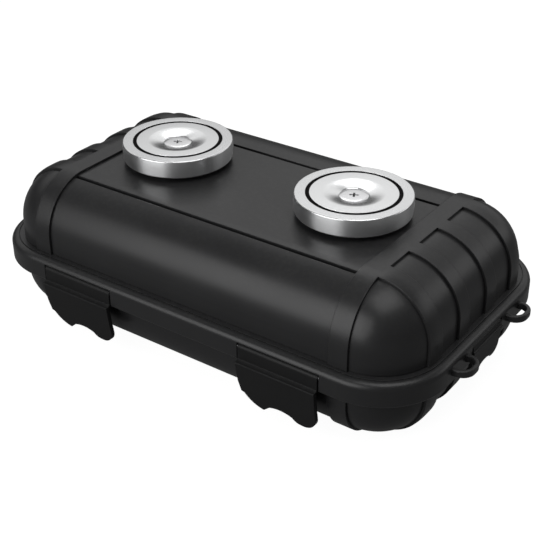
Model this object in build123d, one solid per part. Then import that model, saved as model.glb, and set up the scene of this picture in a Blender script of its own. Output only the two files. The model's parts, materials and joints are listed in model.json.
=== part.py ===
"""Rugged magnetic stash box: two rounded shells, seal, hinges, latches and two pot magnets.

Origin: centre of the resting face. +X is the long direction, -Y the side with two latches, +Z up.
Every length is in millimetres. A name ending in _Z is a height above the resting face.
"""
import os

from build123d import *

os.makedirs("parts", exist_ok=True)

# Moulded shells: outside of the raised end zones.
HALF_LENGTH = 89.1
HALF_WIDTH = 49.8
CORNER_R = 21.5
EDGE_R = 20.5
BASE_EDGE_R = 18.2
BODY_TOP_Z = 58.7
WALL = 2.5

# Raised end zones and the channels sunk between their ribs.
RAISE = 0.9
ZONE_LENGTH = 27.7
CHANNEL_LENGTH = 20.5
RIB_INNER = 6.25
RIB_OUTER = 13.1
BAND_WIDTH = 7.5
BAND_INSET = 17.2
FRONT_GROOVE_INSET = 16.9
BACK_GROOVE_INSET = 27.2
GROOVE_WIDTH = 1.6
GROOVE_DEPTH = 1.4

# Rim where the two shells meet.
RIM_TOP_Z = 31.7
RIM_BOTTOM_Z = 23.0
RIM_OFFSET = 4.3
SKIRT_THICKNESS = 2.9
LIP_ROUND = 2.4
LIP_THICKNESS = 2.0
LIP_LINE_OFFSET = 1.2
LIP_LINE_SIZE = 0.25
SKIRT_ROUND = 0.75
PART_GAP = 0.3
SEAT_Z = 29.1
FLANGE_HEIGHT = 3.7

# Seal in the lower shell's rim.
SEAL_OFFSET = -1.8
SEAL_WIDTH = 2.0
SEAL_HEIGHT = 1.65
SEAL_SIDE_GAP = 0.05
SEAL_GROOVE_DEPTH = 1.5

# Pad under the lower shell.
PAD_LENGTH = 70.0
PAD_WIDTH = 36.0

# Latches.
PIVOT_OFFSET = 3.0
PIVOT_Z = 27.8
BARREL_R = 1.5
LATCH_PIN_R = 0.9
RUN_GAP = 0.05
LATCH_SIDE_GAP = 0.5
PIN_SEAT = 2.5
LATCH_INSET = 44.5
FRONT_LATCH_WIDTH = 31.6
FRONT_RIDGE_REACH = 3.6
FRONT_RIDGE_DROP = 4.6
FRONT_LOBE_DROP = 17.2
FRONT_FOOT_REACH = 0.7
END_LATCH_WIDTH = 21.0
END_RIDGE_REACH = 2.2
END_RIDGE_DROP = 1.1
END_LOBE_DROP = 10.7
END_FOOT_REACH = 0.8
RIDGE_ROUND = 0.3
RIDGE_UNDERCUT = 0.35
FLARE_DROP = 1.0
PLATE = 1.6
HOOK_TOP_DROP = 3.7
HOOK_HEIGHT = 1.3
HOOK_REACH = 2.4
CATCH_OFFSET = 2.0
CATCH_TOP_DROP = 1.9
CATCH_HEIGHT = 1.5
CATCH_SIDE_GAP = 1.0

# Hinges on the back.
HINGE_OFFSET = 8.2
HINGE_Z = 22.5
HINGE_PIN_R = 1.5
KNUCKLE_R = 3.2
LID_KNUCKLE = 14.0
BASE_KNUCKLE = 6.0
KNUCKLE_GAP = 0.3

# Lanyard loops on the right end.
LOOP_Y = 19.5
LOOP_HOLE_R = 2.6
LOOP_BAND = 1.4
LOOP_LAND = 0.1
LOOP_BOTTOM_Z = 26.1
LOOP_THICKNESS = 2.6
LOOP_ROUND = 0.5

# Pot magnets and what holds them.
MAGNET_X = 39.2
MAGNET_R = 21.0
MAGNET_FOOT_R = 20.5
MAGNET_HEIGHT = 7.1
BOSS_R = 17.0
BOSS_HEIGHT = 1.4
CUP_BASE = 2.1
CUP_BORE_R = 16.5
CORE_R = 15.7
CUP_CHAMFER = 0.4
DISH_R = 10.3
DISH_DEPTH = 2.5
SCREW_HEAD_R = 5.3
SCREW_RIM = 0.3
SCREW_CONE = 2.2
SCREW_R = 2.5
HOLE_R = 2.75
WASHER_R = 5.5
WASHER_HEIGHT = 1.2
NUT_FLATS = 8.0
NUT_HEIGHT = 4.0
SCREW_TIP = 0.8

# Heights and radii that follow from the sizes above.
ZONE_START = HALF_LENGTH - ZONE_LENGTH
CHANNEL_START = HALF_LENGTH - CHANNEL_LENGTH
BAND_OUTER = HALF_WIDTH - BAND_INSET
BAND_INNER = BAND_OUTER - BAND_WIDTH
TOP_GROOVES_Y = (FRONT_GROOVE_INSET - HALF_WIDTH, HALF_WIDTH - BACK_GROOVE_INSET)
PANEL_Z = BODY_TOP_Z - RAISE
LID_SEAT_Z = SEAT_Z + PART_GAP
SKIRT_OFFSET = RIM_OFFSET - SKIRT_THICKNESS
FLANGE_OFFSET = SKIRT_OFFSET - PART_GAP
CAVITY_OFFSET = -RAISE - WALL
FRONT_LATCH_X = HALF_LENGTH - LATCH_INSET
HINGE_X = FRONT_LATCH_X
HINGE_Y = HALF_WIDTH + HINGE_OFFSET
PIVOT_Y = HALF_WIDTH + PIVOT_OFFSET
PIVOT_X = HALF_LENGTH + PIVOT_OFFSET
LATCHES = (
    ("latch_front_left", "latch_pin_front_left", FRONT_LATCH_WIDTH,
     Pos(-FRONT_LATCH_X, -PIVOT_Y, PIVOT_Z)),
    ("latch_front_right", "latch_pin_front_right", FRONT_LATCH_WIDTH,
     Pos(FRONT_LATCH_X, -PIVOT_Y, PIVOT_Z)),
    ("latch_end", "latch_pin_end", END_LATCH_WIDTH,
     Pos(PIVOT_X, 0, PIVOT_Z) * Rot(0, 0, 90)),
)


def block(x_low, x_high, y_low, y_high, z_low, z_high):
    """A box given by its limits."""
    size = (x_high - x_low, y_high - y_low, z_high - z_low)
    centre = ((x_low + x_high) / 2, (y_low + y_high) / 2, (z_low + z_high) / 2)
    return Pos(*centre) * Box(*size)


def outline(offset, z_low, z_high):
    """The box's plan outline, moved outward by offset, between two heights."""
    face = RectangleRounded(2 * (HALF_LENGTH + offset), 2 * (HALF_WIDTH + offset), CORNER_R + offset)
    return Pos(0, 0, z_low) * extrude(face, z_high - z_low)


def ring(outer_offset, inner_offset, z_low, z_high):
    """A band between two offsets of the plan outline."""
    return outline(outer_offset, z_low, z_high) - outline(inner_offset, z_low, z_high)


def cap(offset, height, edge_r):
    """A rounded cap of the plan outline: open side at zero, closed rounded side at height."""
    solid = outline(offset, 0, height)
    return fillet(solid.faces().sort_by(Axis.Z)[-1].edges(), edge_r + offset)


def rib_zones(height):
    """The space in which the end zones stand proud of the shell."""
    zones = []
    for low, high in ((-HALF_LENGTH, -CHANNEL_START), (CHANNEL_START, HALF_LENGTH)):
        for inner, outer in ((RIB_INNER, RIB_OUTER), (BAND_INNER, BAND_OUTER)):
            zones.append(block(low, high, inner, outer, 0, height))
            zones.append(block(low, high, -outer, -inner, 0, height))
    for low, high in ((-CHANNEL_START, -ZONE_START), (ZONE_START, CHANNEL_START)):
        zones.append(block(low, high, -HALF_WIDTH, HALF_WIDTH, 0, height))
    return zones


def half_shell(height, edge_r):
    """One moulded half: plain rounded skin with the raised end zones, and its cavity taken out."""
    skin = cap(-RAISE, height - RAISE, edge_r)
    proud = cap(0, height, edge_r)
    for zone in rib_zones(height):
        skin += proud & zone
    return skin - cap(CAVITY_OFFSET, height - RAISE - WALL, edge_r)


def pin_along_x(radius, length):
    """A round bar along X, centred on the origin."""
    return Rot(0, 90, 0) * Cylinder(radius, length)


def turned(points, x):
    """A solid of revolution about the vertical line through x, from radius and height pairs."""
    face = make_face(Polyline(*[(r, 0, z) for r, z in points], close=True))
    return Pos(x, 0, 0) * revolve(face, Axis.Z)


def latch_notch(width):
    """What the rim gives up for one latch, seen from the latch's pivot."""
    half = width / 2 + LATCH_SIDE_GAP
    roof = RIM_TOP_Z - LIP_THICKNESS - PIVOT_Z
    floor = RIM_BOTTOM_Z - PIVOT_Z
    return block(-half, half, -RIM_OFFSET, PIVOT_OFFSET - SKIRT_OFFSET, floor - 1, roof)


def pin_length(width):
    """Length of a latch pin: across the notch and into the rim on both sides."""
    return width + 2 * (LATCH_SIDE_GAP + PIN_SEAT)


def catch_bar(width):
    """The ledge on the lower shell that a latch hooks under, seen from the latch's pivot."""
    half = width / 2 - CATCH_SIDE_GAP
    return block(-half, half, PIVOT_OFFSET - CATCH_OFFSET, PIVOT_OFFSET + WALL / 2,
                 -CATCH_TOP_DROP - CATCH_HEIGHT, -CATCH_TOP_DROP)


def latch_side(ridge_reach, ridge_drop, foot_drop, foot_reach):
    """Side view of a latch: barrel, upright upper plate that flares to a ridge, lower plate, hook."""
    neck = BARREL_R - FLARE_DROP
    flare = (0, -BARREL_R, neck - ridge_drop)
    ridge = (0, -ridge_reach, -ridge_drop)
    sag = (0, -BARREL_R - 0.25 * (ridge_reach - BARREL_R), 0.2 * neck - ridge_drop)
    inner = PLATE - BARREL_R
    hook_low = -HOOK_TOP_DROP - HOOK_HEIGHT
    points = [
        (RIDGE_UNDERCUT - ridge_reach, -ridge_drop - 2 * RIDGE_UNDERCUT), (-foot_reach, -foot_drop),
        (PLATE - foot_reach, -foot_drop), (PLATE + RIDGE_UNDERCUT - ridge_reach, hook_low),
        (HOOK_REACH, hook_low), (HOOK_REACH, -HOOK_TOP_DROP), (inner, -HOOK_TOP_DROP),
        (inner + 0.4, -BARREL_R / 2), (0, 0), (-BARREL_R, 0),
    ]
    plate = Polyline(ridge, *[(0, y, z) for y, z in points], flare)
    face = make_face(Wire(Curve(children=[plate, ThreePointArc(flare, sag, ridge)]).edges()))
    return fillet(face.vertices().sort_by_distance(ridge)[0], RIDGE_ROUND)


def latch_front(width, ridge_drop, lobe_drop):
    """Front view of a latch: straight sides, small shoulders, two lobes with a scoop between.

    Points below the ridge are shares of the half width and of the height from lobe tip to ridge.
    """
    half = width / 2
    low = -ridge_drop - lobe_drop

    def at(across, up):
        return (across * half, 0, low + up * lobe_drop)

    left_shoulder, left_tip, left_lobe = at(-0.84, 0.265), at(-0.36, 0), at(-0.635, 0.09)
    right_shoulder, right_lobe, right_tip = at(0.985, 0.33), at(0.87, 0.085), at(0.615, 0.018)
    scoop_right, scoop_left = at(0.38, 0.113), at(-0.205, 0.125)
    edges = [
        Polyline(left_shoulder, at(-0.92, 0.286), at(-0.98, 0.53), at(-1, 1), (-half, 0, BARREL_R),
                 (half, 0, BARREL_R), at(1, 1), at(0.98, 0.53), right_shoulder),
        ThreePointArc(right_shoulder, right_lobe, right_tip),
        ThreePointArc(right_tip, at(0.48, 0.042), scoop_right),
        ThreePointArc(scoop_right, at(0.1, 0.172), scoop_left),
        Line(scoop_left, left_tip),
        ThreePointArc(left_tip, left_lobe, left_shoulder),
    ]
    return make_face(Wire(Curve(children=edges).edges()))


def latch(width, ridge_reach, ridge_drop, lobe_drop, foot_reach):
    """One latch about its own pivot, outward side to -Y."""
    side = latch_side(ridge_reach, ridge_drop, ridge_drop + lobe_drop, foot_reach)
    body = extrude(side, width / 2, both=True)
    body += pin_along_x(BARREL_R, width)
    reach = HALF_WIDTH
    body &= extrude(latch_front(width, ridge_drop, lobe_drop), reach, both=True)
    return body - pin_along_x(LATCH_PIN_R + RUN_GAP, width)


def knuckle_places():
    """Centres of the lid's knuckle and of the lower shell's two, along one hinge."""
    shift = (LID_KNUCKLE + BASE_KNUCKLE) / 2 + KNUCKLE_GAP
    return (-shift, shift)


def hinge_arm(points, x, width):
    """A plate of the given side view, centred on x."""
    face = make_face(Polyline(*[(0, y, z) for y, z in points], close=True))
    return Pos(x, 0, 0) * extrude(face, width / 2, both=True)


def knuckle(x, width):
    """A hinge knuckle centred on x."""
    return Pos(x, HINGE_Y, HINGE_Z) * pin_along_x(KNUCKLE_R, width)


def lid_hinges():
    """The lid's hinge arms and knuckles."""
    skirt_y = HALF_WIDTH + RIM_OFFSET - 0.4
    points = [
        (skirt_y, RIM_BOTTOM_Z + 0.3), (skirt_y, RIM_TOP_Z - 2), (HINGE_Y - 1, RIM_TOP_Z - 3),
        (HINGE_Y + KNUCKLE_R * 0.8, HINGE_Z + KNUCKLE_R * 0.6), (HINGE_Y, HINGE_Z),
        (HINGE_Y - KNUCKLE_R * 0.8, HINGE_Z - KNUCKLE_R * 0.3),
    ]
    solids = []
    for x in (-HINGE_X, HINGE_X):
        solids += [hinge_arm(points, x, LID_KNUCKLE), knuckle(x, LID_KNUCKLE)]
    return solids


def base_hinges():
    """The lower shell's hinge arms and knuckles."""
    wall_y = HALF_WIDTH - RAISE - WALL / 2
    points = [
        (wall_y, HINGE_Z - 9), (wall_y, HINGE_Z - 0.8), (HINGE_Y - KNUCKLE_R, HINGE_Z - 0.6),
        (HINGE_Y, HINGE_Z), (HINGE_Y + KNUCKLE_R * 0.6, HINGE_Z - KNUCKLE_R * 0.8),
    ]
    solids = []
    for x in (-HINGE_X, HINGE_X):
        for shift in knuckle_places():
            solids += [hinge_arm(points, x + shift, BASE_KNUCKLE), knuckle(x + shift, BASE_KNUCKLE)]
    return solids


def hinge_bore(x, radius):
    """The hole through one hinge."""
    length = LID_KNUCKLE + 2 * (BASE_KNUCKLE + KNUCKLE_GAP)
    return Pos(x, HINGE_Y, HINGE_Z) * pin_along_x(radius, length)


def loop(y):
    """A flat lanyard loop that stands out of the right end of the rim, with its hole."""
    rim_x = HALF_LENGTH + RIM_OFFSET
    centre_x = rim_x + LOOP_LAND + LOOP_HOLE_R
    outer_r = LOOP_HOLE_R + LOOP_BAND
    top = LOOP_BOTTOM_Z + LOOP_THICKNESS
    middle = Pos(centre_x, y, LOOP_BOTTOM_Z + LOOP_THICKNESS / 2)
    disc = middle * Cylinder(outer_r, LOOP_THICKNESS)
    disc -= block(rim_x - outer_r, rim_x, y - outer_r, y + outer_r, LOOP_BOTTOM_Z - 1, top + 1)
    body = disc + block(rim_x, centre_x, y - outer_r, y + outer_r, LOOP_BOTTOM_Z, top)
    flat = body.faces().sort_by(Axis.Z)
    outer_edges = (flat[0].edges() + flat[-1].edges()).filter_by(lambda e: e.center().X > centre_x)
    return fillet(outer_edges, LOOP_ROUND) - middle * Cylinder(LOOP_HOLE_R, 2 * LOOP_THICKNESS)


def rim_band():
    """The lid's rim: lip on top, skirt down over the lower shell's flange."""
    band = outline(RIM_OFFSET, RIM_BOTTOM_Z, RIM_TOP_Z)
    faces = band.faces().sort_by(Axis.Z)
    band = fillet(faces[-1].edges(), LIP_ROUND)
    band = fillet(band.faces().sort_by(Axis.Z)[0].edges(), SKIRT_ROUND)
    band -= outline(SKIRT_OFFSET, RIM_BOTTOM_Z, LID_SEAT_Z)
    band -= outline(CAVITY_OFFSET, LID_SEAT_Z, RIM_TOP_Z)
    line_z = RIM_TOP_Z - LIP_LINE_SIZE
    return band - ring(LIP_LINE_OFFSET + LIP_LINE_SIZE, LIP_LINE_OFFSET, line_z, RIM_TOP_Z)


def make_lid():
    """Upper shell: moulded half, rim, hinge knuckles, magnet bosses and all cuts."""
    lid = Pos(0, 0, LID_SEAT_Z) * half_shell(BODY_TOP_Z - LID_SEAT_Z, EDGE_R)
    lid += rim_band()
    for solid in lid_hinges():
        lid += solid
    for x in (-HINGE_X, HINGE_X):
        lid -= hinge_bore(x, HINGE_PIN_R + RUN_GAP)
    for y in TOP_GROOVES_Y:
        lid -= block(-ZONE_START, ZONE_START, y - GROOVE_WIDTH / 2, y + GROOVE_WIDTH / 2,
                     PANEL_Z - GROOVE_DEPTH, PANEL_Z)
    for x in (-MAGNET_X, MAGNET_X):
        boss_height = BOSS_HEIGHT + WALL / 2
        lid += Pos(x, 0, PANEL_Z + BOSS_HEIGHT - boss_height / 2) * Cylinder(BOSS_R, boss_height)
        lid -= Pos(x, 0, PANEL_Z) * Cylinder(HOLE_R, 4 * WALL)
    for _, _, width, place in LATCHES:
        lid -= place * latch_notch(width)
        lid -= place * pin_along_x(LATCH_PIN_R, pin_length(width))
    return lid


def make_base():
    """Lower shell: moulded half, flange, seal groove, catch bars, hinge knuckles and pad."""
    base = Pos(0, 0, SEAT_Z) * mirror(half_shell(SEAT_Z, BASE_EDGE_R), about=Plane.XY)
    base += ring(FLANGE_OFFSET, CAVITY_OFFSET, SEAT_Z - FLANGE_HEIGHT, SEAT_Z)
    pad = RectangleRounded(PAD_LENGTH, PAD_WIDTH, RIB_INNER)
    base += extrude(pad, RAISE + WALL / 2)
    for _, _, width, place in LATCHES:
        base += place * catch_bar(width)
    for solid in base_hinges():
        base += solid
    for x in (-HINGE_X, HINGE_X):
        base -= hinge_bore(x, HINGE_PIN_R)
    groove_half = SEAL_WIDTH / 2 + SEAL_SIDE_GAP
    return base - ring(SEAL_OFFSET + groove_half, SEAL_OFFSET - groove_half,
                       SEAT_Z - SEAL_GROOVE_DEPTH, SEAT_Z)


def make_seal():
    """The rubber seal that lies in the lower shell's groove."""
    low = SEAT_Z - SEAL_GROOVE_DEPTH
    return ring(SEAL_OFFSET + SEAL_WIDTH / 2, SEAL_OFFSET - SEAL_WIDTH / 2, low, low + SEAL_HEIGHT)


def make_magnet(x):
    """The parts of one pot magnet and its fixing, by name."""
    seat = PANEL_Z + BOSS_HEIGHT
    floor = seat + CUP_BASE
    top = seat + MAGNET_HEIGHT
    head_top = top - DISH_DEPTH
    cone_top = head_top - SCREW_RIM
    cone_low = cone_top - SCREW_CONE
    inside = PANEL_Z - WALL
    washer_low = inside - WASHER_HEIGHT
    nut_low = washer_low - NUT_HEIGHT
    cup = turned([
        (HOLE_R, seat), (MAGNET_FOOT_R - CUP_CHAMFER, seat), (MAGNET_FOOT_R, seat + CUP_CHAMFER),
        (MAGNET_R, top - CUP_CHAMFER), (MAGNET_R - CUP_CHAMFER, top), (CUP_BORE_R, top),
        (CUP_BORE_R, floor), (HOLE_R, floor),
    ], x)
    resin = turned([(CORE_R, floor), (CUP_BORE_R, floor), (CUP_BORE_R, top), (CORE_R, top)], x)
    dish_mid = (SCREW_HEAD_R + DISH_R) / 2
    core_profile = [
        (HOLE_R, floor), (CORE_R, floor), (CORE_R, top), (DISH_R, top), (DISH_R - 1.2, top - 0.3),
        (dish_mid, top - DISH_DEPTH * 0.55), (SCREW_HEAD_R, head_top), (SCREW_HEAD_R, cone_top),
        (HOLE_R, cone_top - SCREW_CONE * (SCREW_HEAD_R - HOLE_R) / (SCREW_HEAD_R - SCREW_R)),
    ]
    screw = turned([
        (0, nut_low - SCREW_TIP), (SCREW_R, nut_low - SCREW_TIP), (SCREW_R, cone_low),
        (SCREW_HEAD_R, cone_top), (SCREW_HEAD_R, head_top), (0, head_top),
    ], x)
    washer = turned([(HOLE_R, washer_low), (WASHER_R, washer_low), (WASHER_R, inside), (HOLE_R, inside)], x)
    hexagon = RegularPolygon(NUT_FLATS / 2, 6, major_radius=False)
    nut = Pos(x, 0, nut_low) * extrude(hexagon, NUT_HEIGHT)
    nut -= Pos(x, 0, nut_low) * Cylinder(SCREW_R, 4 * NUT_HEIGHT)
    return {"cup": cup, "resin": resin, "core": turned(core_profile, x), "screw": screw,
            "washer": washer, "nut": nut}


parts = {
    "base_shell": make_base(),
    "lid_shell": make_lid(),
    "rim_seal": make_seal(),
    "lanyard_loop_front": loop(-LOOP_Y),
    "lanyard_loop_back": loop(LOOP_Y),
    "hinge_pin_left": hinge_bore(-HINGE_X, HINGE_PIN_R),
    "hinge_pin_right": hinge_bore(HINGE_X, HINGE_PIN_R),
}
front_shape = (FRONT_RIDGE_REACH, FRONT_RIDGE_DROP, FRONT_LOBE_DROP, FRONT_FOOT_REACH)
end_shape = (END_RIDGE_REACH, END_RIDGE_DROP, END_LOBE_DROP, END_FOOT_REACH)
for latch_name, pin_name, width, place in LATCHES:
    shape = end_shape if latch_name == "latch_end" else front_shape
    parts[latch_name] = place * latch(width, *shape)
    parts[pin_name] = place * pin_along_x(LATCH_PIN_R, pin_length(width))
for side, x in (("left", -MAGNET_X), ("right", MAGNET_X)):
    for name, solid in make_magnet(x).items():
        parts[f"magnet_{name}_{side}"] = solid

for name, solid in parts.items():
    export_step(solid, f"parts/{name}.step")
    box = solid.bounding_box()
    print(name, round(solid.volume, 1), len(solid.solids()), box.min, box.max)
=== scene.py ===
# %% [markdown]
# # A magnetic stash box, dressed for its portrait
# The box is a pair of rounded plastic shells with a rim between them, three snap latches and two pot
# magnets. The frame already holds every solid at its true size, in metres, so this lesson never moves one.
# It gives each piece its real surface, models what a solid keeps too plain, and lights the result.

# %% Load the frame and keep its size
import json
import math

import bmesh
import bpy
from mathutils import Matrix, Vector


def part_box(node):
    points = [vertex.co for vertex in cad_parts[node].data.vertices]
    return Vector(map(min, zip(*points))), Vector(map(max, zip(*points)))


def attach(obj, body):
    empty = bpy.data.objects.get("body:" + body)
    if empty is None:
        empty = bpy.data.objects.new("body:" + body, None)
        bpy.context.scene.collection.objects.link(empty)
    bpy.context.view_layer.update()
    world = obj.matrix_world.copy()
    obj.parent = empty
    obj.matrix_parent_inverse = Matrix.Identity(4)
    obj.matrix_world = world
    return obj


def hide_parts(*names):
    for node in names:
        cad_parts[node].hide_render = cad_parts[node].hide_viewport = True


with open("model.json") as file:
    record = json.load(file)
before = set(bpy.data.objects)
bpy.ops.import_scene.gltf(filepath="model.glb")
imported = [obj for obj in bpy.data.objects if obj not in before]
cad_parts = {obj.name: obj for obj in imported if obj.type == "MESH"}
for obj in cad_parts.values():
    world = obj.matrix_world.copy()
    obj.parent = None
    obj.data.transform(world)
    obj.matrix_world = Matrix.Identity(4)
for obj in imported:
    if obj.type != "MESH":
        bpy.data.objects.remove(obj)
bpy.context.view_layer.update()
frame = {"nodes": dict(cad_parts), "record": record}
nodes = frame["nodes"]
MM = 0.001

# %% [markdown]
# ## The camera
# The camera stands where the photographer's did. It was found by matching the magnets' ellipses and the
# box's straight edges. A guess by eye gives the right side of the box but the wrong depth, so the measured
# place, turn and lens are used as they are.

# %% Place the camera
CAMERA_AZIMUTH = math.radians(35.826)
CAMERA_ELEVATION = math.radians(30.384)
CAMERA_ROLL = math.radians(-0.427)
CAMERA_PLACE = (220.02 * MM, -302.27 * MM, 242.4 * MM)
FOCAL_PIXELS = 1139.4
PHOTO_SIDE = 534
SENSOR_SIDE = 36
NEAREST_SEEN = 0.01
QUARTER_TURN = math.radians(90)


def look_matrix(azimuth, elevation, roll, place):
    """The camera's turn and place from the angles it looks back at the box from."""
    turn = (Matrix.Rotation(azimuth, 4, "Z") @ Matrix.Rotation(QUARTER_TURN - elevation, 4, "X")
            @ Matrix.Rotation(roll, 4, "Z"))
    return Matrix.Translation(place) @ turn


bpy.ops.object.select_all(action="DESELECT")
bpy.ops.object.camera_add()
camera = bpy.context.object
camera.name = "photo_camera"
camera.matrix_world = look_matrix(CAMERA_AZIMUTH, CAMERA_ELEVATION, CAMERA_ROLL, CAMERA_PLACE)
camera.data.sensor_width = SENSOR_SIDE
camera.data.lens = FOCAL_PIXELS * SENSOR_SIDE / PHOTO_SIDE
camera.data.clip_start = NEAREST_SEEN
bpy.context.scene.camera = camera
print("lens", round(camera.data.lens, 2), "mm")

# %% [markdown]
# ## Sizes of a pot magnet
# A pot magnet is a steel cup with a plated core in it, black resin between the two and a countersunk screw
# through both. Its sizes could be typed in, but they are read from the solids, so that the dressed magnet
# stands exactly where its solid does. From here on, lengths are in millimetres.

# %% Read the magnet's sizes
RIM_NARROWING = 0.15
FOOT_NARROWING = 0.35
CORE_NARROWING = 0.15
RESIN_WIDTH = 1.35
DISH_DEPTH = 1.2


def in_mm(length):
    """A length of the frame in millimetres."""
    return round(length / MM, 3)


cup_low, cup_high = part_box("magnet_cup_left")
core_low, core_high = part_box("magnet_core_left")
screw_low, screw_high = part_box("magnet_screw_left")
MAGNET_X = in_mm((cup_low.x + cup_high.x) / 2)
CUP_R = in_mm((cup_high.x - cup_low.x) / 2)
CUP_RIM_R = CUP_R - RIM_NARROWING
CUP_FOOT_R = CUP_R - FOOT_NARROWING
CUP_LOW = in_mm(cup_low.z)
CUP_TOP = in_mm(cup_high.z)
CORE_R = in_mm((core_high.x - core_low.x) / 2) - CORE_NARROWING
BORE_R = CORE_R + RESIN_WIDTH
BORE_FLOOR = in_mm(core_low.z)
HEAD_R = in_mm((screw_high.x - screw_low.x) / 2)
HEAD_TOP = CUP_TOP - DISH_DEPTH
SCREW_TIP = in_mm(screw_low.z)
SHAFT_R = 2.5
HOLE_R = 2.75
print("magnet at", MAGNET_X, "cup", CUP_R, CUP_LOW, CUP_TOP, "core", CORE_R, BORE_FLOOR)
print("screw head", HEAD_R, HEAD_TOP)

# %% [markdown]
# ## Hand tools
# Every turned part of a magnet starts as a cylinder and is worked in edit mode: its top face is inset and
# pushed, its bottom face too, and the two are bridged where there is a hole through. A lathe profile with
# Spin would do as well, but insetting keeps the piece closed from the first step to the last.

# %% Start a turned piece
TURNED_SIDES = 144


def take_in_hand(name):
    """Names the new primitive, puts its place into its mesh and opens it in edit mode."""
    piece = bpy.context.object
    piece.name = name
    piece.data.name = name
    bpy.ops.object.transform_apply(location=True, rotation=True, scale=True)
    bpy.ops.object.mode_set(mode="EDIT")
    return piece


def start_turned(name, radius, low, high):
    """A closed cylinder about the magnet's axis, in edit mode."""
    bpy.ops.object.select_all(action="DESELECT")
    middle = (MAGNET_X * MM, 0, (low + high) / 2 * MM)
    bpy.ops.mesh.primitive_cylinder_add(vertices=TURNED_SIDES, radius=radius * MM, depth=(high - low) * MM,
                                        location=middle)
    return take_in_hand(name)


print("turned pieces have", TURNED_SIDES, "sides")

# %% Pick faces and edges
HAIR = 0.02
LEVEL_ENOUGH = 0.9
UP = 1
DOWN = -1


def pick(kind, wanted):
    """Selects the faces or edges of the piece in hand that pass a test, and says how many they are."""
    bpy.ops.mesh.select_mode(type=kind)
    bpy.ops.mesh.select_all(action="DESELECT")
    mesh = bpy.context.object.data
    work = bmesh.from_edit_mesh(mesh)
    picked = [item for item in (work.faces if kind == "FACE" else work.edges) if wanted(item)]
    for item in picked:
        item.select_set(True)
    bmesh.update_edit_mesh(mesh)
    return len(picked)


def pick_flat(height, way):
    """Selects the flat faces at one height that look up or down."""
    return pick("FACE", lambda face: face.normal.z * way > LEVEL_ENOUGH
                and abs(face.calc_center_median().z - height * MM) < HAIR * MM)


def pick_ring(radius, height):
    """Selects the round edge of one radius at one height."""
    def on_ring(vert):
        reach = math.hypot(vert.co.x - MAGNET_X * MM, vert.co.y)
        return abs(reach - radius * MM) < HAIR * MM and abs(vert.co.z - height * MM) < HAIR * MM

    return pick("EDGE", lambda edge: all(on_ring(vert) for vert in edge.verts))


print("faces and edges are picked to", HAIR, "mm")

# %% Step, widen, round and bridge


def step_in(inset, lift):
    """Insets the picked face and lifts the new one."""
    bpy.ops.mesh.inset(thickness=inset * MM)
    bpy.ops.transform.translate(value=(0, 0, lift * MM))


def step_straight(lift):
    """Pushes the picked face straight up or down, leaving an upright wall."""
    bpy.ops.mesh.extrude_region_move(TRANSFORM_OT_translate={"value": (0, 0, lift * MM)})


def widen(share, height):
    """Widens or narrows what is picked about the magnet's axis."""
    bpy.ops.transform.resize(value=(share, share, 1), center_override=(MAGNET_X * MM, 0, height * MM))


def round_picked(rounding, clamp=False):
    """Rounds the picked edges by a width, in a number of segments."""
    width, segments = rounding
    bpy.ops.mesh.bevel(offset=width * MM, segments=segments, profile=0.5, affect="EDGES",
                       clamp_overlap=clamp)


def round_ring(radius, height, rounding):
    """Rounds one round edge."""
    count = pick_ring(radius, height)
    round_picked(rounding)
    print(bpy.context.object.name, "edge at radius", round(radius, 3), "rounded,", count, "edges")


def bridge_hole():
    """Joins the round faces left at the hole's two ends, so that the hole goes through."""
    ends = pick("FACE", lambda face: len(face.verts) == TURNED_SIDES)
    bpy.ops.mesh.bridge_edge_loops()
    print(bpy.context.object.name, "hole bridged between", ends, "faces")


def finish_piece(crease=35, weigh=True):
    """Leaves edit mode, smooth up to a crease angle, with the flats flat right up to their roundings."""
    bpy.ops.mesh.select_all(action="SELECT")
    bpy.ops.mesh.normals_make_consistent(inside=False)
    bpy.ops.object.mode_set(mode="OBJECT")
    piece = bpy.context.object
    bpy.ops.object.shade_smooth_by_angle(angle=math.radians(crease))
    if weigh:
        weighed = piece.modifiers.new("flats_stay_flat", "WEIGHTED_NORMAL")
        weighed.keep_sharp = True
        bpy.ops.object.modifier_apply(modifier=weighed.name)
    print(piece.name, "faces", len(piece.data.polygons))


print("hand tools are ready")

# %% [markdown]
# ## The steel cup
# A pressed and turned steel pot: a wall that is crowned by a hair, so that its upper half mirrors more
# light than its foot, a flat ground rim, and a rounding on each edge. A shader could fake the roundings,
# but they are real geometry, because the upper one is a bright line on the magnet and the lower one the
# dark line under it.

# %% Turn the cup
CROWN_SHARE = 0.58
CROWN_HEIGHT = CUP_LOW + CROWN_SHARE * (CUP_TOP - CUP_LOW)
RIM_ROUNDING = (0.4, 5)
THIN_ROUNDING = (0.14, 2)
FOOT_ROUNDING = (0.9, 6)
cup = start_turned("magnet_cup_dressed_left", CUP_R, CUP_LOW, CROWN_HEIGHT)
pick_flat(CROWN_HEIGHT, UP)
step_straight(CUP_TOP - CROWN_HEIGHT)
widen(CUP_RIM_R / CUP_R, CUP_TOP)
pick_flat(CUP_LOW, DOWN)
widen(CUP_FOOT_R / CUP_R, CUP_LOW)
step_in(CUP_FOOT_R - HOLE_R, 0)
pick_flat(CUP_TOP, UP)
step_in(CUP_RIM_R - BORE_R, 0)
step_straight(BORE_FLOOR - CUP_TOP)
step_in(BORE_R - HOLE_R, 0)
bridge_hole()
round_ring(CUP_RIM_R, CUP_TOP, RIM_ROUNDING)
round_ring(BORE_R, CUP_TOP, THIN_ROUNDING)
round_ring(CUP_FOOT_R, CUP_LOW, FOOT_ROUNDING)
finish_piece()

# %% [markdown]
# ## The resin ring
# Black resin fills the gap between cup and core. It could be a flat ring, but poured resin sets with a
# hollow. It lies only just below the rim, so that it reads as a bold black line from every side and not as
# a slot between two bright walls.

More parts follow.
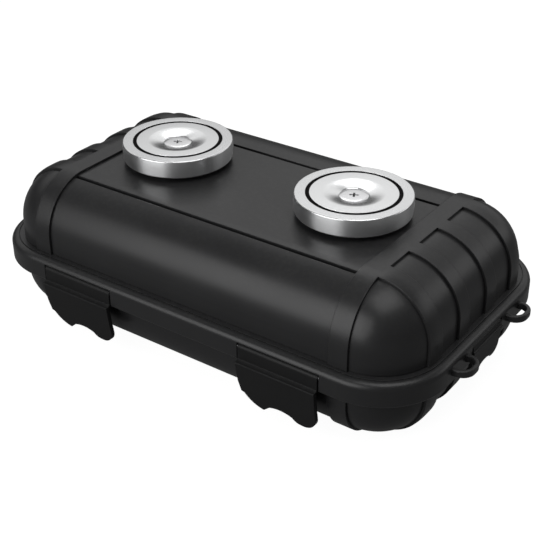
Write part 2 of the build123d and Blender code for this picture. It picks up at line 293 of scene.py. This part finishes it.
# %% Pour the resin ring
RESIN_SINK = 0.12
RESIN_HOLLOW = 0.14
RESIN_STEP = 0.33
RESIN_CREASE = 60
SNUG = 0.01
RESIN_TOP = CUP_TOP - RESIN_SINK
resin = start_turned("magnet_resin_dressed_left", BORE_R - SNUG, BORE_FLOOR, RESIN_TOP)
pick_flat(BORE_FLOOR, DOWN)
step_in(BORE_R - CORE_R - 2 * SNUG, 0)
pick_flat(RESIN_TOP, UP)
for hollow_share in (-0.8, -0.2, 0.2, 0.8):
    step_in(RESIN_STEP, RESIN_HOLLOW * hollow_share)
bridge_hole()
finish_piece(RESIN_CREASE)

# %% [markdown]
# ## The plated core
# The core is a disc with a dished countersink. The dish is a sweep that starts level with the flat and gets
# steeper towards the screw head, so it is worked in many small insets with growing drops. It is what makes
# the bright patch and the two dark crescents of the real part. A plain cone would be one even grey.

# %% Turn the core
DISH_R = 11.2
DISH_STEPS = 16
DISH_SWEEP = 1.5
SEAT_ROOM = 0.12
SEAT_LIP = 0.05
SEAT_DEPTH = 1.9
SEAT_R = HEAD_R + SEAT_ROOM
SEAT_DROP = CUP_TOP - HEAD_TOP - SEAT_ROOM
core = start_turned("magnet_core_dressed_left", CORE_R - SNUG, BORE_FLOOR, CUP_TOP)
pick_flat(BORE_FLOOR, DOWN)
step_in(CORE_R - HOLE_R, 0)
pick_flat(CUP_TOP, UP)
step_in(CORE_R - DISH_R, 0)
previous_drop = 0.0
for step in range(1, DISH_STEPS + 1):
    drop = SEAT_DROP * (step / DISH_STEPS) ** DISH_SWEEP
    step_in((DISH_R - SEAT_R) / DISH_STEPS, previous_drop - drop)
    previous_drop = drop
step_in(SEAT_R - HEAD_R, -SEAT_LIP)
step_in(HEAD_R - HOLE_R, -SEAT_DEPTH)
bridge_hole()
round_ring(CORE_R - SNUG, CUP_TOP, THIN_ROUNDING)
finish_piece()

# %% [markdown]
# ## The countersunk screw
# The shaft is the starting cylinder. Its top face is extruded and widened into the cone and the low dome
# of the head. The cross recess is cut with a Boolean, because its tapered arms meet the dome at an angle
# that insets can't give.

# %% Turn the screw
HEAD_HEIGHT = 2.5
CONE_HEIGHT = 2.2
HEAD_BAND = 0.2
HEAD_EASE = 0.02
TIP_BEVEL = 0.45
DOME_STEPS = ((0.18, 0.1), (1.3, 0.08), (1.6, 0.03))
SCREW_CREASE = 50
CONE_LOW = HEAD_TOP - HEAD_HEIGHT
screw = start_turned("magnet_screw_dressed_left", SHAFT_R, SCREW_TIP, CONE_LOW)
pick_flat(SCREW_TIP, DOWN)
step_in(TIP_BEVEL, 0)
pick_flat(CONE_LOW, UP)
step_straight(CONE_HEIGHT)
widen((HEAD_R - HEAD_EASE) / SHAFT_R, CONE_LOW + CONE_HEIGHT)
step_straight(HEAD_BAND)
for inset, lift in DOME_STEPS:
    step_in(inset, lift)
finish_piece(SCREW_CREASE, weigh=False)

# %% Cut the cross recess
RECESS_SPAN = 3.8
RECESS_ARM = 0.95
RECESS_DEPTH = 1.9
RECESS_ABOVE = 1.0
RECESS_TAPER = 0.45
RECESS_TURN = math.radians(28)
RECESS_CREASE = math.radians(30)


def recess_arm(turn):
    """One tapered arm of the cross, wider at the top than at the bottom."""
    bpy.ops.object.select_all(action="DESELECT")
    middle = (MAGNET_X * MM, 0, (HEAD_TOP + RECESS_ABOVE / 2 - RECESS_DEPTH / 2) * MM)
    bpy.ops.mesh.primitive_cube_add(
        size=1, location=middle, rotation=(0, 0, turn),
        scale=(RECESS_SPAN * MM, RECESS_ARM * MM, (RECESS_DEPTH + RECESS_ABOVE) * MM))
    arm = take_in_hand("recess_arm")
    pick_flat(HEAD_TOP - RECESS_DEPTH, DOWN)
    widen(RECESS_TAPER, HEAD_TOP - RECESS_DEPTH)
    bpy.ops.object.mode_set(mode="OBJECT")
    return arm


for turn in (RECESS_TURN, RECESS_TURN + QUARTER_TURN):
    arm = recess_arm(turn)
    bpy.ops.object.select_all(action="DESELECT")
    bpy.context.view_layer.objects.active = screw
    screw.select_set(True)
    cut = screw.modifiers.new("recess", "BOOLEAN")
    cut.operation = "DIFFERENCE"
    cut.solver = "EXACT"
    cut.object = arm
    bpy.ops.object.modifier_apply(modifier=cut.name)
    bpy.data.objects.remove(arm)
bpy.ops.object.shade_smooth_by_angle(angle=RECESS_CREASE)
print("screw faces after the recess", len(screw.data.polygons))

# %% [markdown]
# ## The second magnet
# Both magnets are alike, so one is modelled and then copied. A linked copy would share its mesh, and a
# moved object would slide its pattern, so each copy has a mesh of its own with the new place in it.

# %% Copy the magnet to the right


def copy_piece(piece, name, shift):
    """A copy with its own mesh, shifted within that mesh."""
    twin = piece.copy()
    twin.data = piece.data.copy()
    twin.name = name
    twin.data.name = name
    twin.data.transform(Matrix.Translation(shift))
    bpy.context.scene.collection.objects.link(twin)
    return twin


magnet_pieces = {}
for kind, piece in {"cup": cup, "resin": resin, "core": core, "screw": screw}.items():
    twin = copy_piece(piece, piece.name.replace("_left", "_right"), (-2 * MAGNET_X * MM, 0, 0))
    for dressed, side in ((piece, "left"), (twin, "right")):
        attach(dressed, "lid")
        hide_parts(f"magnet_{kind}_{side}")
        magnet_pieces[f"{kind}_{side}"] = dressed
print("magnet pieces", sorted(magnet_pieces))

# %% [markdown]
# ## The lanyard loops
# The solids carry plain round eyes. The moulded loops are wider and thinner: a D that grows out of the rim's
# face, with a soft edge all round. A bent round bar would look like wire, so each starts as a block that
# reaches into the rim, has its two free corners rounded and its hole bridged from top to bottom. The block's
# inner bar stays inside the rim, so the hole begins at the rim's own face.

# %% Start one loop as a block with round corners
LOOP_BAND = 1.6
LOOP_REACH = 5.9
LOOP_WIDTH = 11.4
LOOP_ROOT = 0.4
LOOP_SHIFT = 0.3
LOOP_CORNER = (4.9, 12)
CLEAR_GAP = 1
loop_low, loop_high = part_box("lanyard_loop_front")
rim_face = loop_low.x / MM
loop_middle = (loop_low.y + loop_high.y) / 2 / MM - LOOP_SHIFT
inside = LOOP_BAND + LOOP_ROOT
bpy.ops.object.select_all(action="DESELECT")
bpy.ops.mesh.primitive_cube_add(
    size=1, location=((rim_face + (LOOP_REACH - inside) / 2) * MM, loop_middle * MM,
                      (loop_low.z + loop_high.z) / 2),
    scale=((LOOP_REACH + inside) * MM, LOOP_WIDTH * MM, loop_high.z - loop_low.z))
loop = take_in_hand("lanyard_loop_dressed_front")
corners = pick("EDGE", lambda edge: edge.verts[0].co.x > (rim_face + CLEAR_GAP) * MM
               and abs(edge.verts[0].co.z - edge.verts[1].co.z) > CLEAR_GAP * MM)
round_picked(LOOP_CORNER)
print("loop block with", corners, "round corners")

# %% Open its hole and soften its edges
LOOP_EDGE = (0.45, 3)
LOOP_CREASE = 30
SHARP_BEND = math.radians(60)
ROOT_MARGIN = 0.1
pick("FACE", lambda face: abs(face.normal.z) > LEVEL_ENOUGH)
bpy.ops.mesh.inset(thickness=LOOP_BAND * MM, use_individual=True)
bpy.ops.mesh.bridge_edge_loops()
bpy.ops.mesh.select_mode(type="EDGE")
bpy.ops.mesh.select_all(action="SELECT")
bpy.ops.mesh.normals_make_consistent(inside=False)
pick("EDGE", lambda edge: edge.calc_face_angle(0.0) > SHARP_BEND
     and edge.verts[0].co.x > (rim_face - ROOT_MARGIN) * MM)
round_picked(LOOP_EDGE, clamp=True)
finish_piece(LOOP_CREASE)

# %% Copy the loop to the back
back_loop = copy_piece(loop, "lanyard_loop_dressed_back", (0, -2 * loop_middle * MM, 0))
loop_pieces = {"lanyard_loop_front": loop, "lanyard_loop_back": back_loop}
for node, piece in loop_pieces.items():
    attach(piece, "lid")
    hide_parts(node)
print("loops at", round(loop_middle, 2), round(-loop_middle, 2))

# %% [markdown]
# ## Shared surface effects
# Moulded plastic, plated steel and rubber share some effects: a fine grain, a soft wear on edges, painted
# shade in nooks, and a trace of dust. Each could be built anew in every material, but a node group is made
# once and used with its own values in each.

# %% Start a node group and feed a socket


def new_group(name, inputs, outputs):
    """A shader group with float inputs and outputs of the given kinds. Gives its two ends as well."""
    group = bpy.data.node_groups.new(name, "ShaderNodeTree")
    for label, value in inputs.items():
        socket = group.interface.new_socket(label, in_out="INPUT", socket_type="NodeSocketFloat")
        socket.default_value = value
    for label, kind in outputs.items():
        group.interface.new_socket(label, in_out="OUTPUT", socket_type="NodeSocket" + kind)
    return group, group.nodes.new("NodeGroupInput").outputs, group.nodes.new("NodeGroupOutput").inputs


def feed(tree, value, socket):
    """Gives an input a number, a triple or another node's output."""
    if isinstance(value, bpy.types.NodeSocket):
        tree.links.new(value, socket)
    elif socket.type == "RGBA":
        socket.default_value = (*value, 1.0)
    else:
        socket.default_value = value


print("sockets are fed numbers, triples or outputs")

# %% Add math and noise


def add_math(tree, operation, first, second=None, clamp=False):
    """A math node. Gives its output."""
    node = tree.nodes.new("ShaderNodeMath")
    node.operation = operation
    node.use_clamp = clamp
    feed(tree, first, node.inputs[0])
    if second is not None:
        feed(tree, second, node.inputs[1])
    return node.outputs[0]


def add_noise(tree, place, scale, detail):
    """A noise texture."""
    node = tree.nodes.new("ShaderNodeTexNoise")
    feed(tree, place, node.inputs["Vector"])
    feed(tree, scale, node.inputs["Scale"])
    feed(tree, detail, node.inputs["Detail"])
    return node.outputs["Fac"]


def own_place(tree):
    """The place on the piece, in the piece's own coordinates."""
    return tree.nodes.new("ShaderNodeTexCoord").outputs["Object"]


print("math and noise are ready")

# %% Grain
FINE_SHARE = 0.6
COARSE_SHARE = 0.4
COARSE_SCALE = 0.27
grain, grain_in, grain_out = new_group(
    "moulded_grain", {"Grain per metre": 3500.0, "Cloud per metre": 40.0},
    {"Height": "Float", "Cloud": "Float"})
place = own_place(grain)
fine = add_noise(grain, place, grain_in["Grain per metre"], detail=1.0)
coarse_grain = add_math(grain, "MULTIPLY", grain_in["Grain per metre"], COARSE_SCALE)
coarse = add_noise(grain, place, coarse_grain, detail=2.0)
mixed = add_math(grain, "ADD", add_math(grain, "MULTIPLY", fine, FINE_SHARE),
                 add_math(grain, "MULTIPLY", coarse, COARSE_SHARE))
feed(grain, mixed, grain_out["Height"])
feed(grain, add_noise(grain, place, grain_in["Cloud per metre"], detail=4.0), grain_out["Cloud"])
print("group", grain.name)

# %% Mix and compare vectors
MIX_SOCKETS = {"VECTOR": (4, 5, 1), "RGBA": (6, 7, 2)}


def add_mix(tree, share, first, second, kind="RGBA"):
    """A mix of two colours or two vectors."""
    node = tree.nodes.new("ShaderNodeMix")
    node.data_type = kind
    first_index, second_index, result_index = MIX_SOCKETS[kind]
    feed(tree, share, node.inputs["Factor"])
    feed(tree, first, node.inputs[first_index])
    feed(tree, second, node.inputs[second_index])
    return node.outputs[result_index]


def add_dot(tree, first, second):
    """The dot product of two vectors."""
    node = tree.nodes.new("ShaderNodeVectorMath")
    node.operation = "DOT_PRODUCT"
    feed(tree, first, node.inputs[0])
    feed(tree, second, node.inputs[1])
    return node.outputs["Value"]


print("mixes of", sorted(MIX_SOCKETS))

# %% Painted shade in nooks, and softened edges
EDGE_SAMPLES = 6
EDGE_RADIUS = 0.35
NOOK_REACH = 0.4
NOOK_GAIN = 5.0
edges, edges_in, edges_out = new_group(
    "worn_edges", {"Wear": 0.5, "Breaks per metre": 260.0},
    {"Mask": "Float", "Nook shade": "Float", "Soft normal": "Vector"})
bevel = edges.nodes.new("ShaderNodeBevel")
bevel.samples = EDGE_SAMPLES
bevel.inputs["Radius"].default_value = EDGE_RADIUS * MM
nook = edges.nodes.new("ShaderNodeAmbientOcclusion")
nook.samples = EDGE_SAMPLES
nook.only_local = True
nook.inputs["Distance"].default_value = NOOK_REACH * MM
# The hollow mask marks concave nooks from ambient occlusion. It keeps the soft normal off them and goes out
# as painted shade.
shaded = add_math(edges, "SUBTRACT", 1.0, nook.outputs["AO"])
hollow = add_math(edges, "MULTIPLY", shaded, NOOK_GAIN, clamp=True)
true_normal = edges.nodes.new("ShaderNodeNewGeometry").outputs["Normal"]
soft_normal = add_mix(edges, hollow, bevel.outputs["Normal"], true_normal, "VECTOR")
# painted shade: the nook mask darkens colour where ambient occlusion finds shade
feed(edges, hollow, edges_out["Nook shade"])
feed(edges, soft_normal, edges_out["Soft normal"])
print("group", edges.name, "has nooks and soft normals")

# %% Wear on the edges
BEND_GAIN = 6.0
BREAK_START = 0.35
BREAK_GAIN = 2.2
bend = add_math(edges, "SUBTRACT", 1.0, add_dot(edges, soft_normal, true_normal), clamp=True)
sharp = add_math(edges, "MULTIPLY", bend, BEND_GAIN, clamp=True)
breaks = add_noise(edges, own_place(edges), edges_in["Breaks per metre"], detail=4.0)
breaks = add_math(edges, "SUBTRACT", breaks, BREAK_START, clamp=True)
broken = add_math(edges, "MULTIPLY", breaks, BREAK_GAIN, clamp=True)
worn = add_math(edges, "MULTIPLY", add_math(edges, "MULTIPLY", sharp, broken), edges_in["Wear"])
feed(edges, worn, edges_out["Mask"])
print("group", edges.name, "has wear")

# %% Dust on what faces up
FILM_PER_METRE = 60.0
SPECK_START = 0.45
SPECK_GAIN = 3.0
FACING_POWER = 2.0


def add_split(tree, vector):
    """A vector's X, Y and Z."""
    node = tree.nodes.new("ShaderNodeSeparateXYZ")
    feed(tree, vector, node.inputs[0])
    return node.outputs


dust, dust_in, dust_out = new_group(
    "settled_dust", {"Amount": 0.1, "Specks per metre": 700.0}, {"Mask": "Float"})
upward = add_split(dust, dust.nodes.new("ShaderNodeNewGeometry").outputs["Normal"])["Z"]
facing_up = add_math(dust, "POWER", add_math(dust, "MAXIMUM", upward, 0.0), FACING_POWER)
place = own_place(dust)
specks = add_noise(dust, place, dust_in["Specks per metre"], detail=3.0)
film = add_noise(dust, place, FILM_PER_METRE, detail=3.0)
specks = add_math(dust, "SUBTRACT", specks, SPECK_START, clamp=True)
gathered = add_math(dust, "MULTIPLY", specks, SPECK_GAIN, clamp=True)
settled = add_math(dust, "MULTIPLY", add_math(dust, "MULTIPLY", gathered, film), facing_up)
feed(dust, add_math(dust, "MULTIPLY", settled, dust_in["Amount"]), dust_out["Mask"])
print("group", dust.name)

# %% [markdown]
# ## Moulded plastic
# The shells are satin black plastic: almost black in itself, with a low sheen that greys where the surface
# turns to the light. A plain dark colour looks like a hole in the picture. The colour drifts a little,
# the roughness follows the grain, edges are a touch paler where handled, and nooks get painted shade.

# %% Start a finish and place a group


def new_finish(name):
    """A material with its node tree and shader."""
    finish = bpy.data.materials.new(name)
    finish.use_nodes = True
    return finish, finish.node_tree, finish.node_tree.nodes["Principled BSDF"]


def add_group(tree, group, **values):
    """Places a node group in a material with its own values. Gives its outputs."""
    node = tree.nodes.new("ShaderNodeGroup")
    node.node_tree = group
    for label, value in values.items():
        node.inputs[label.replace("_", " ")].default_value = value
    return node.outputs


print("every finish starts from a Principled BSDF")

# %% Lay colours and relief
NOISE_SPAN = (0.25, 0.75)
GRAIN_ROUGHNESS = 0.03


def add_range(tree, value, low, high, span=NOISE_SPAN, soft=False):
    """Maps a span of values to low..high, straight or with soft ends."""
    node = tree.nodes.new("ShaderNodeMapRange")
    node.interpolation_type = "SMOOTHSTEP" if soft else "LINEAR"
    feed(tree, value, node.inputs["Value"])
    feed(tree, span[0], node.inputs["From Min"])
    feed(tree, span[1], node.inputs["From Max"])
    feed(tree, low, node.inputs["To Min"])
    feed(tree, high, node.inputs["To Max"])
    return node.outputs["Result"]


def lay_colours(tree, shader, colour, layers):
    """Lays colours over one another, each where its own mask is, and gives the shader the result."""
    for mask, layer in layers:
        colour = add_mix(tree, mask, colour, layer)
    feed(tree, colour, shader.inputs["Base Color"])


def lay_relief(tree, shader, skin, rough, drift, relief, under=None):
    """Roughness that drifts and follows a skin's grain, and a bump as high as its relief."""
    cloudy = add_range(tree, skin["Cloud"], rough - drift, rough + drift)
    grainy = add_range(tree, skin["Height"], -GRAIN_ROUGHNESS, GRAIN_ROUGHNESS)
    feed(tree, add_math(tree, "ADD", cloudy, grainy, clamp=True), shader.inputs["Roughness"])
    bump = tree.nodes.new("ShaderNodeBump")
    feed(tree, 1.0, bump.inputs["Strength"])
    feed(tree, relief * MM, bump.inputs["Distance"])
    feed(tree, skin["Height"], bump.inputs["Height"])
    if under is not None:
        feed(tree, under, bump.inputs["Normal"])
    feed(tree, bump.outputs["Normal"], shader.inputs["Normal"])


print("grain changes roughness by", GRAIN_ROUGHNESS)

# %% Plastic, rubber and resin
DUST_COLOUR = (0.32, 0.31, 0.29)
WORN_GAIN = 2.6
# painted shade: nooks are darkened to this share of the dark colour
NOOK_SHADE_SHARE = 0.6
MOULDED_DRIFT = 0.03


def moulded_finish(name, dark, pale, rough, sheen, grain_per_metre, relief, wear, dust_amount):
    """A moulded finish: drifting colour, grain in roughness and bump, worn edges, dust and painted shade in
    nooks.
    """
    finish, tree, shader = new_finish(name)
    skin = add_group(tree, grain, Grain_per_metre=grain_per_metre)
    handled = add_group(tree, edges, Wear=wear)
    dusty = add_group(tree, dust, Amount=dust_amount)
    lay_colours(tree, shader, dark, (
        (skin["Cloud"], pale),
        (handled["Mask"], tuple(min(1.0, channel * WORN_GAIN) for channel in pale)),
        (dusty["Mask"], DUST_COLOUR),
        # painted shade: nooks darkened to a share of the dark colour
        (handled["Nook shade"], tuple(channel * NOOK_SHADE_SHARE for channel in dark))))
    lay_relief(tree, shader, skin, rough, MOULDED_DRIFT, relief, under=handled["Soft normal"])
    feed(tree, sheen, shader.inputs["Specular IOR Level"])
    return finish


shell_plastic = moulded_finish(
    "shell_plastic", dark=(0.0105, 0.0105, 0.0109), pale=(0.014, 0.014, 0.0145), rough=0.34, sheen=0.3,
    grain_per_metre=3500.0, relief=0.0025, wear=0.3, dust_amount=0.04)
latch_plastic = moulded_finish(
    "latch_plastic", dark=(0.006, 0.006, 0.0062), pale=(0.01, 0.01, 0.0102), rough=0.42, sheen=0.13,
    grain_per_metre=3000.0, relief=0.003, wear=0.3, dust_amount=0.02)
seal_rubber = moulded_finish(
    "seal_rubber", dark=(0.012, 0.012, 0.012), pale=(0.02, 0.02, 0.02), rough=0.7, sheen=0.25,
    grain_per_metre=2500.0, relief=0.006, wear=0.1, dust_amount=0.1)
cast_resin = moulded_finish(
    "cast_resin", dark=(0.003, 0.003, 0.003), pale=(0.006, 0.006, 0.006), rough=0.75, sheen=0.04,
    grain_per_metre=2200.0, relief=0.003, wear=0.0, dust_amount=0.01)
print("moulded finishes", shell_plastic.name, latch_plastic.name, seal_rubber.name, cast_resin.name)

# %% [markdown]
# ## Plated steel
# The cups and cores are satin nickel over turned steel. Turning leaves fine rings about the magnet's own
# axis. A straight noise would look like cast metal, so the pattern is a noise of the distance from that
# axis. Both magnets stand at the same distance from the middle of the box, so the size of x, less that
# distance, centres the rings on both at once.

# %% Rings about each magnet's axis
RING_DETAIL = 3.0
PLATE_CLOUD_PER_METRE = 130.0
rings, rings_in, rings_out = new_group(
    "turned_rings", {"Rings per metre": 9000.0}, {"Height": "Float", "Cloud": "Float"})
place = own_place(rings)
split = add_split(rings, place)
from_axis = add_math(rings, "SUBTRACT", add_math(rings, "ABSOLUTE", split["X"]), abs(MAGNET_X) * MM)
square_x = add_math(rings, "MULTIPLY", from_axis, from_axis)
square_y = add_math(rings, "MULTIPLY", split["Y"], split["Y"])
radius = add_math(rings, "SQRT", add_math(rings, "ADD", square_x, square_y))
ring_noise = rings.nodes.new("ShaderNodeTexNoise")
ring_noise.noise_dimensions = "1D"
feed(rings, add_math(rings, "ADD", radius, split["Z"]), ring_noise.inputs["W"])
feed(rings, rings_in["Rings per metre"], ring_noise.inputs["Scale"])
feed(rings, RING_DETAIL, ring_noise.inputs["Detail"])
feed(rings, ring_noise.outputs["Fac"], rings_out["Height"])
feed(rings, add_noise(rings, place, PLATE_CLOUD_PER_METRE, detail=5.0), rings_out["Cloud"])
print("group", rings.name)

# %% Plated finishes
RUBBED_COLOUR = (0.86, 0.86, 0.87)
# painted shade: the dark colour laid on the plate in nooks, where ambient occlusion finds shade
NOOK_SHADE_COLOUR = (0.05, 0.048, 0.045)
PLATED_DRIFT = 0.02
BRUSH_TURN = 0.25


def plated_finish(name, dark, pale, rough, relief, wear, brushed):
    """Satin plate: turning rings that spread a reflection, cloudy roughness, brighter edges and painted
    shade in nooks.
    """
    finish, tree, shader = new_finish(name)
    skin = add_group(tree, rings)
    handled = add_group(tree, edges, Wear=wear)
    lay_colours(tree, shader, dark, (
        # the last layer is painted shade in nooks
        (skin["Cloud"], pale), (handled["Mask"], RUBBED_COLOUR), (handled["Nook shade"], NOOK_SHADE_COLOUR)))
    lay_relief(tree, shader, skin, rough, PLATED_DRIFT, relief)
    feed(tree, 1.0, shader.inputs["Metallic"])
    feed(tree, brushed, shader.inputs["Anisotropic"])
    feed(tree, BRUSH_TURN, shader.inputs["Anisotropic Rotation"])
    around = tree.nodes.new("ShaderNodeTangent")
    around.direction_type = "RADIAL"
    around.axis = "Z"
    feed(tree, around.outputs["Tangent"], shader.inputs["Tangent"])
    return finish


cup_plate = plated_finish("cup_plate", dark=(0.71, 0.715, 0.72), pale=(0.75, 0.755, 0.76),
                          rough=0.26, relief=0.0006, wear=0.4, brushed=0.3)
wall_plate = plated_finish("wall_plate", dark=(0.7, 0.705, 0.71), pale=(0.76, 0.765, 0.77),
                           rough=0.36, relief=0.0009, wear=0.2, brushed=0.8)
core_plate = plated_finish("core_plate", dark=(0.76, 0.765, 0.77), pale=(0.8, 0.805, 0.81),
                           rough=0.21, relief=0.0004, wear=0.3, brushed=0.2)
screw_plate = plated_finish("screw_plate", dark=(0.72, 0.72, 0.73), pale=(0.78, 0.78, 0.79),
                            rough=0.24, relief=0.0004, wear=0.4, brushed=0.2)
pin_steel = plated_finish("pin_steel", dark=(0.5, 0.5, 0.51), pale=(0.6, 0.6, 0.61),
                          rough=0.35, relief=0.001, wear=0.3, brushed=0.0)
print("plated finishes", cup_plate.name, wall_plate.name, core_plate.name, screw_plate.name, pin_steel.name)

# %% [markdown]
# ## Which piece has which finish
# The record gives every piece a material slot, so one table from slot to finish dresses them all, and the
# plain solids too. Only the cups have two finishes, because a single one couldn't be right for both: their
# rims are ground flat, and their turned walls spread a reflection further.

# %% Give every piece its finish
BY_SLOT = {
    "black_plastic": shell_plastic, "latch_plastic": latch_plastic, "seal_rubber": seal_rubber,
    "resin_black": cast_resin, "pot_steel": cup_plate, "core_chrome": core_plate,
    "screw_steel": screw_plate, "pin_steel": pin_steel,
}


def dress(piece, finish):
    """Gives a piece one finish and no other."""
    piece.data.materials.clear()
    piece.data.materials.append(finish)


slot_of = {part["node"]: part["material_slot"] for part in frame["record"]["subparts"]}
for name, node in nodes.items():
    dress(node, BY_SLOT[slot_of[name]])
for label, piece in magnet_pieces.items():
    slot = slot_of["magnet_" + label]
    dress(piece, BY_SLOT[slot])
for node, piece in loop_pieces.items():
    dress(piece, BY_SLOT[slot_of[node]])
print("pieces dressed", len(nodes) + len(magnet_pieces) + len(loop_pieces))

# %% Give the cups' walls their own plate
WALL_LEAN = 0.4
for side in ("left", "right"):
    walled = magnet_pieces["cup_" + side].data
    walled.materials.append(wall_plate)
    wall_faces = [face for face in walled.polygons if abs(face.normal.z) < WALL_LEAN]
    for face in wall_faces:
        face.material_index = 1
    print("cup", side, "wall faces", len(wall_faces))

# %% [markdown]
# ## Floor
# The photograph has a pure white ground. More light on a white floor would make it so, but would also reach
# the box. So the floor is half diffuse, to take the box's shadow, and half a glow that the camera sees.
# Gloss sees a little of the glow, which lifts the box's undersides.

# %% Lay the floor
FLOOR_SIZE = 8
FLOOR_HEIGHT = -0.0002
FLOOR_GLOW = 0.95
MIRRORED_GLOW = 0.08
PAPER_COLOUR = (0.12, 0.12, 0.12)


def ray_kinds(tree):
    """Masks of the camera's own rays and of the rays that gloss and glass send on."""
    path = tree.nodes.new("ShaderNodeLightPath").outputs
    sent_on = add_math(tree, "MAXIMUM", path["Is Glossy Ray"], path["Is Transmission Ray"])
    return path["Is Camera Ray"], sent_on


bpy.ops.object.select_all(action="DESELECT")
bpy.ops.mesh.primitive_plane_add(size=FLOOR_SIZE, location=(0, 0, FLOOR_HEIGHT))
floor = bpy.context.object
floor.name = "studio_floor"
bpy.ops.object.transform_apply(location=True)
floor_paper = bpy.data.materials.new("floor_paper")
floor_paper.use_nodes = True
tree = floor_paper.node_tree
tree.nodes.clear()
paper = tree.nodes.new("ShaderNodeBsdfDiffuse")
feed(tree, PAPER_COLOUR, paper.inputs["Color"])
glow = tree.nodes.new("ShaderNodeEmission")
seen, mirrored = ray_kinds(tree)
seen_glow = add_math(tree, "MULTIPLY", seen, FLOOR_GLOW)
mirrored_glow = add_math(tree, "MULTIPLY", mirrored, MIRRORED_GLOW)
feed(tree, add_math(tree, "MAXIMUM", seen_glow, mirrored_glow), glow.inputs["Strength"])
both = tree.nodes.new("ShaderNodeAddShader")
feed(tree, paper.outputs[0], both.inputs[0])
feed(tree, glow.outputs[0], both.inputs[1])
feed(tree, both.outputs[0], tree.nodes.new("ShaderNodeOutputMaterial").inputs["Surface"])
floor.data.materials.append(floor_paper)
print("floor", floor.name)

# %% [markdown]
# ## Light
# The camera sees a white room. Gloss sees the same white behind the box, fading to dusk near the floor and
# at the sides, because those dark parts are what the dish's crescents and the magnets' walls mirror.
# Everything else gets an even fill. A picture of a studio could light the box too, but four soft lamps are
# plainer, and a colour renders about as written under them. The front one draws the pale band along the
# lid, the back one the white patch in each dish, the one above the spot on the corner and the end one the
# sheen on the ribs.

# %% Paint the room
WORLD_FILL = 0.4
BACKDROP = 0.96
CEILING = 0.45
CEILING_START = (0.52, 0.8)
BEHIND_BOX = (-0.6, 0.8, 0.0)
WING_SPAN = (0.1, 0.6)
WING_LOW = 0.1
DUSK_SPAN = (0.1, 0.34)
DUSK_LOW = 0.05
DUSK_TILT = 0.2
world = bpy.data.worlds.new("studio")
bpy.context.scene.world = world
world.use_nodes = True
tree = world.node_tree
background = tree.nodes["Background"]
feed(tree, (1, 1, 1), background.inputs["Color"])
direction = tree.nodes.new("ShaderNodeTexCoord").outputs["Generated"]
split = add_split(tree, direction)
climb = add_range(tree, split["Z"], BACKDROP, CEILING, CEILING_START, soft=True)
wings = add_range(tree, add_dot(tree, direction, BEHIND_BOX), WING_LOW, 1.0, WING_SPAN, soft=True)
tilted = add_math(tree, "ADD", split["Z"], add_math(tree, "MULTIPLY", split["X"], DUSK_TILT))
dusk = add_range(tree, tilted, DUSK_LOW, 1.0, DUSK_SPAN, soft=True)
room = add_math(tree, "MULTIPLY", add_math(tree, "MULTIPLY", climb, dusk), wings)
seen, mirrored = ray_kinds(tree)
fill = add_math(tree, "MULTIPLY", add_math(tree, "SUBTRACT", 1.0, mirrored), WORLD_FILL)
unseen = add_math(tree, "ADD", add_math(tree, "MULTIPLY", mirrored, room), fill)
feed(tree, add_math(tree, "MAXIMUM", seen, unseen), background.inputs["Strength"])
print("world", world.name, "fill", WORLD_FILL)

# %% Hang the lamps
LAMP_AIM = Vector((0, 0, 0.03))


def soft_lamp(name, direction, distance, size, radiance):
    """A rectangular lamp that looks at the box from a direction. Radiance is as bright as it looks."""
    bpy.ops.object.select_all(action="DESELECT")
    towards = Vector(direction).normalized()
    bpy.ops.object.light_add(type="AREA", location=LAMP_AIM + towards * distance)
    lamp = bpy.context.object
    lamp.name = name
    lamp.rotation_euler = towards.to_track_quat("Z", "Y").to_euler()
    lamp.data.shape = "RECTANGLE"
    lamp.data.size, lamp.data.size_y = size
    lamp.data.energy = radiance * math.pi * size[0] * size[1]
    print(name, "power", round(lamp.data.energy, 2), "W")


soft_lamp("lamp_above", direction=(0.27, -0.1, 1.0), distance=0.9, size=(0.7, 0.6), radiance=3.0)
soft_lamp("lamp_back", direction=(-0.26, 0.36, 0.53), distance=0.9, size=(0.4, 0.28), radiance=1.6)
soft_lamp("lamp_front", direction=(-0.25, -0.95, 0.38), distance=0.8, size=(0.78, 0.62), radiance=3.5)
soft_lamp("lamp_end", direction=(0.7, 0.64, 0.38), distance=0.8, size=(0.4, 0.3), radiance=1.25)
bpy.context.scene.view_settings.view_transform = "Standard"
